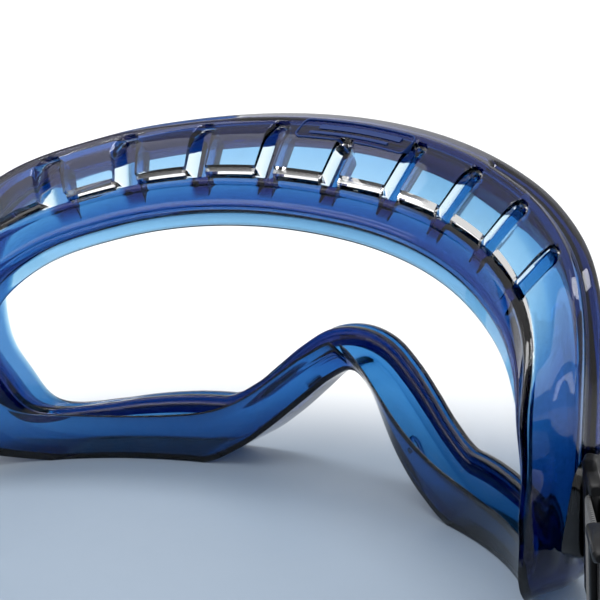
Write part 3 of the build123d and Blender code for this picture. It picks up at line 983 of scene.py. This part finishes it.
def strap_path():
    """Middle line of the left half of the strap: tail, fold, straight, corner and rear."""
    turn = BAR_LENGTH / 2 - BAR_THICKNESS / 2
    points = []
    for k in range(FOLD_STEPS):
        points.append((TAIL_LENGTH - (TAIL_LENGTH + turn) * k / FOLD_STEPS, -LAYER))
    for k in range(FOLD_STEPS + 1):
        angle = math.pi * k / FOLD_STEPS
        points.append((-turn - LAYER * math.sin(angle), -LAYER * math.cos(angle)))
    for k in range(1, STRAIGHT_STEPS):
        points.append((-turn + (STRAP_STRAIGHT + turn) * k / STRAIGHT_STEPS, LAYER))
    for k in range(CORNER_STEPS + 1):
        angle = (FLARE + STRAP_CORNER_END) * k / CORNER_STEPS
        points.append((STRAP_STRAIGHT + STRAP_CORNER_RADIUS * math.sin(angle),
                       LAYER + STRAP_CORNER_RADIUS * (1 - math.cos(angle))))
    places = [BAR + REARWARD * a + INWARD * b for a, b in points]
    place, radius = strap_corner()
    centre_y = place.y - radius * math.sin(STRAP_CORNER_END)
    for k in range(1, CORNER_STEPS + 1):
        angle = STRAP_CORNER_END + (math.pi / 2 - STRAP_CORNER_END) * k / CORNER_STEPS
        places.append(Vector((radius * math.cos(angle), centre_y + radius * math.sin(angle),
                              PIVOT_Z)))
    return places


def band(places, width, thickness, place):
    """Flat band on edge along a line of places, with its own place attribute: along, across."""
    sections, runs = [], []
    run = 0.0
    for k, centre in enumerate(places):
        before = places[max(0, k - 1)]
        after = places[min(len(places) - 1, k + 1)]
        heading = (after - before).normalized()
        run += (centre - before).length
        sections.append((centre, UP.cross(heading), UP, thickness / 2, width / 2, thickness / 2))
        runs.append(run)
    vertices, faces = loft(sections, place)
    size = len(vertices) // len(sections)
    outline = rounded_rectangle(thickness / 2, width / 2, thickness / 2)
    across = [(run, outline[j][1], 0.0) for run in runs for j in range(size)]
    return vertices, faces, across


RIB_PITCH = 1.25             # of the weave's lengthwise ribs and crosswise picks
PICK_PITCH = 0.9
STRAP_DARK = (0.006, 0.007, 0.009, 1.0)
STRAP_PALE = (0.045, 0.05, 0.06, 1.0)


def webbing():
    """Woven elastic: lengthwise ribs crossed by fine picks."""
    material, tree, shader = principled("woven_elastic")
    place = tree.nodes.new("ShaderNodeAttribute")
    place.attribute_name = "band_place"
    parts = tree.nodes.new("ShaderNodeSeparateXYZ")
    tree.links.new(place.outputs["Vector"], parts.inputs["Vector"])
    ribs = wave(tree, parts.outputs["Y"], 2 * math.pi / RIB_PITCH)
    picks = wave(tree, parts.outputs["X"], 2 * math.pi / PICK_PITCH)
    weave = combined(tree, "MULTIPLY", ribs, picks)
    fuzz = noise(tree, 900.0, 4.0)
    height = combined(tree, "ADD", weave, combined(tree, "MULTIPLY", fuzz, 0.5))
    bump(tree, shader, height, 0.0003, 0.9)
    blend(tree, shader, STRAP_DARK, STRAP_PALE, combined(tree, "MULTIPLY", ribs, fuzz))
    shader.inputs["Sheen Weight"].default_value = 0.35
    tree.links.new(remap(tree, fuzz, 0.7, 0.95), shader.inputs["Roughness"])
    return material


def wave(tree, value, rate):
    """0 to 1 sine of a coordinate in millimetres."""
    sine = combined(tree, "SINE", combined(tree, "MULTIPLY", value, rate))
    return combined(tree, "MULTIPLY_ADD", sine, 0.5, 0.5)


def make_strap():
    half = strap_path()
    whole = half + [Vector((-v.x, v.y, v.z)) for v in reversed(half[:-1])]
    vertices, faces, across = band(whole, STRAP_WIDTH, STRAP_THICKNESS, hung)
    piece = mesh_object("elastic_strap_visual", vertices, faces)
    attribute = piece.data.attributes.new("band_place", "FLOAT_VECTOR", "POINT")
    attribute.data.foreach_set("vector", [value for place in across for value in place])
    finish_piece(piece, "harness", webbing(), "strap_webbing", "elastic_strap")


STITCH_ROWS = (36.0, 39.0)   # distances behind the clip's bar
STITCH_COUNT = 11
STITCH_PITCH = 2.2
STITCH_HALVES = (0.8, 0.22, 0.2)


def make_stitches():
    """Two rows of stitches that close each folded end, on the outside of the tail."""
    parts = []
    for row in STITCH_ROWS:
        for k in range(STITCH_COUNT):
            across = STITCH_PITCH * (k - (STITCH_COUNT - 1) / 2)
            centre = BAR + REARWARD * row - INWARD * (LAYER + STRAP_THICKNESS / 2) + UP * across
            parts.append(block(centre, (UP, REARWARD, INWARD), STITCH_HALVES, 0.18, hung))
    vertices, faces = merged(parts)
    thread = moulded_plastic("stitch_thread", (0.10, 0.11, 0.13))
    for _, piece in mirrored("strap_stitches", vertices, faces):
        finish_piece(piece, "harness", thread, "strap_webbing")


def side_edge(z):
    """X of the lens ring's outer edge at a height of the left side."""
    low, high = SIDE_STATIONS
    for _ in range(HALVINGS):
        middle = (low + high) / 2
        low, high = (middle, high) if on_line(station(middle), 0.0)[1] > z else (low, middle)
    return on_line(station(low), 0.0)[0]


def make_lugs():
    """Rounded lug on the outside of each side of the frame, which carries the clip."""
    outline = rounded_rectangle(LUG_LENGTH / 2, LUG_HEIGHT / 2, LUG_CORNER, LUG_CORNER_STEPS)
    vertices = []
    for share, inset in LUG_SECTIONS:
        for y, z in outline:
            height = PIVOT_Z + z * (1 - inset / (LUG_HEIGHT / 2))
            edge = side_edge(height) + LUG_GAP
            x = edge + (LUG_FACE_X - edge) * share
            vertices.append(at(x, PIVOT_Y + y * (1 - inset / (LUG_LENGTH / 2)), height))
    parts = [(vertices, skin(len(LUG_SECTIONS), len(outline)))]
    pair("side_lug", parts, "goggles", BLUE, "soft_blue_frame")


LENS_STEPS = 8               # points of the lens outline in each station
LENS_STRIP = 2.0
LENS_STRIPS = 47             # strips on each side of the middle
LENS_EDGE = 30.0


def lens_outline():
    points = []
    for k in range(-LAST * LENS_STEPS, LAST * LENS_STEPS):
        row = station(k / LENS_STEPS)
        points.append(on_line(row, row[4] - LENS_BITE))
    return points


def lens_blank():
    """Flat lens outline cut into upright strips, so that it can bend."""
    work = bmesh.new()
    work.faces.new([work.verts.new((x, 0.0, z)) for x, z in lens_outline()])
    for k in range(-LENS_STRIPS, LENS_STRIPS + 1):
        geometry = work.verts[:] + work.edges[:] + work.faces[:]
        place = (k * LENS_STRIP, 0, 0)
        bmesh.ops.bisect_plane(work, geom=geometry, plane_co=place, plane_no=(1, 0, 0))
    work.verts.index_update()
    flat = [(v.co.x, v.co.z) for v in work.verts]
    faces = [[v.index for v in face.verts] for face in work.faces]
    rim = [[v.index for v in edge.verts] for edge in work.edges if edge.is_boundary]
    work.free()
    return flat, faces, rim


def make_lens():
    """Clear cylindrical lens."""
    flat, faces, rim = lens_blank()
    outer = LENS_RADIUS - GROOVE_FRONT - (GROOVE_WIDTH - LENS_THICKNESS) / 2
    vertices = []
    for radius in (outer, outer - LENS_THICKNESS):
        for x, z in flat:
            vertices.append(at(x, FRONT_Y + LENS_RADIUS - math.sqrt(radius ** 2 - x * x), z))
    size = len(flat)
    skin = faces + [[size + k for k in face[::-1]] for face in faces]
    skin += [[a, b, size + b, size + a] for a, b in rim]
    piece = mesh_object("lens_visual", vertices, skin)
    work = bmesh.new()
    work.from_mesh(piece.data)
    bmesh.ops.recalc_face_normals(work, faces=work.faces)
    work.to_mesh(piece.data)
    work.free()
    piece.data.set_sharp_from_angle(angle=math.radians(LENS_EDGE))
    finish_piece(piece, "goggles", CLEAR, "clear_lens", "lens")


# ---- Stage, light and camera ----
CAMERA_DISTANCE = 600.0
CAMERA_AZIMUTH = 215.0
CAMERA_ELEVATION = 17.0
CAMERA_TARGET = (1.36, 11.13, 53.75)
CAMERA_LENS = 144.0
FLOOR_REACH = 2.2            # sizes of the floor and the backdrop in metres
FLOOR_CURVE = 0.8
FLOOR_STEPS = 12
FLOOR_HALF_WIDTH = 4.0
BACKDROP_HEIGHT = 2.4
FLOOR_MIDDLE = (-0.045, 0.01, 0.0)
FLOOR_NEAR = 0.13            # painted grey-blue shadow within this radius of the middle, white beyond the next
FLOOR_FAR = 0.21
# Colour of the painted blue-tinted shadow on the floor under the goggles
FLOOR_SHADOW_BLUE = (0.29, 0.36, 0.45, 1.0)
FLOOR_WHITE = (0.93, 0.94, 0.95, 1.0)
WORLD_STRENGTH = 0.7


def make_floor():
    """Pale floor that curves up into a backdrop across the camera's line of sight."""
    vertices, faces = [], []
    line = [(FLOOR_REACH, 0.0)]
    for k in range(FLOOR_STEPS + 1):
        angle = math.pi / 2 * k / FLOOR_STEPS
        line.append((-FLOOR_REACH - FLOOR_CURVE * math.sin(angle),
                     FLOOR_CURVE * (1 - math.cos(angle))))
    line.append((-FLOOR_REACH - FLOOR_CURVE, BACKDROP_HEIGHT))
    turn = math.radians(CAMERA_AZIMUTH)
    back = Vector((math.sin(turn), -math.cos(turn), 0.0))
    side = Vector((-math.cos(turn), -math.sin(turn), 0.0))
    for distance, height in line:
        for reach in (-FLOOR_HALF_WIDTH, FLOOR_HALF_WIDTH):
            place = back * distance + side * reach
            vertices.append((place.x, place.y, height))
    for k in range(len(line) - 1):
        faces.append([2 * k, 2 * k + 1, 2 * k + 3, 2 * k + 2])
    floor = mesh_object("studio_floor", vertices, faces)
    material, tree, shader = principled("studio_floor")
    paint_floor_shadow(tree, shader)
    floor.data.materials.append(material)


def paint_floor_shadow(tree, shader):
    """Satin white board with a painted grey-blue shadow under the goggles, fading to white away
    from them.
    """
    place = tree.nodes.new("ShaderNodeTexCoord")
    gap = tree.nodes.new("ShaderNodeVectorMath")
    gap.operation = "DISTANCE"
    gap.inputs[1].default_value = FLOOR_MIDDLE
    tree.links.new(place.outputs["Object"], gap.inputs[0])
    ramp = tree.nodes.new("ShaderNodeMapRange")
    ramp.interpolation_type = "SMOOTHSTEP"
    ramp.inputs["From Min"].default_value = FLOOR_NEAR
    ramp.inputs["From Max"].default_value = FLOOR_FAR
    tree.links.new(gap.outputs["Value"], ramp.inputs["Value"])
    # Painted shadow: grey-blue near the goggles, fading to the white floor further out
    blend(tree, shader, FLOOR_SHADOW_BLUE, FLOOR_WHITE, ramp.outputs["Result"])
    tree.links.new(remap(tree, noise(tree, 40.0), 0.45, 0.6), shader.inputs["Roughness"])


def area_light(name, place, target, size, power):
    light = bpy.data.lights.new(name, "AREA")
    light.shape = "RECTANGLE"
    light.size, light.size_y = size
    light.energy = power
    lamp = bpy.data.objects.new(name, light)
    lamp.location = place
    lamp.rotation_mode = "QUATERNION"
    lamp.rotation_quaternion = (Vector(target) - Vector(place)).to_track_quat("-Z", "Y")
    bpy.context.scene.collection.objects.link(lamp)


def make_lights():
    world = bpy.data.worlds.new("studio")
    world.use_nodes = True
    world.node_tree.nodes["Background"].inputs["Color"].default_value = WHITE
    world.node_tree.nodes["Background"].inputs["Strength"].default_value = WORLD_STRENGTH
    bpy.context.scene.world = world
    area_light("top_softbox", (0.2, 0.35, 1.0), (0.0, -0.06, 0.0), (1.3, 0.8), 6.0)
    area_light("rear_softbox", (-1.0, 0.5, 0.6), (0.0, -0.08, 0.03), (0.35, 0.7), 2.5)
    area_light("backdrop_light", (0.2, -0.3, 1.6), (1.1, -1.6, 0.1), (1.0, 0.6), 17.0)


def make_camera():
    camera = bpy.data.cameras.new("camera")
    camera.lens = CAMERA_LENS
    camera.sensor_width = 36.0
    holder = bpy.data.objects.new("camera", camera)
    a, e = math.radians(CAMERA_AZIMUTH), math.radians(CAMERA_ELEVATION)
    back = Vector((math.sin(a) * math.cos(e), -math.cos(a) * math.cos(e), math.sin(e)))
    holder.location = at(*CAMERA_TARGET) + back * CAMERA_DISTANCE / 1000
    holder.rotation_mode = "QUATERNION"
    holder.rotation_quaternion = (-back).to_track_quat("-Z", "Y")
    bpy.context.scene.collection.objects.link(holder)
    bpy.context.scene.camera = holder


def build_scene():
    make_frame()
    make_pad()
    make_ribs()
    make_lugs()
    make_lens()
    make_clips()
    make_caps()
    make_sliders()
    make_strap()
    make_stitches()
    for name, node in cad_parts.items():
        if name.startswith("pivot_pin"):
            node.data.materials.clear()
            node.data.materials.append(STEEL)
    make_floor()
    make_lights()
    make_camera()
    scene = bpy.context.scene
    scene.view_settings.view_transform = "Standard"
    scene.cycles.max_bounces = 24
    scene.cycles.transmission_bounces = 24
    scene.cycles.use_denoising = True


build_scene()
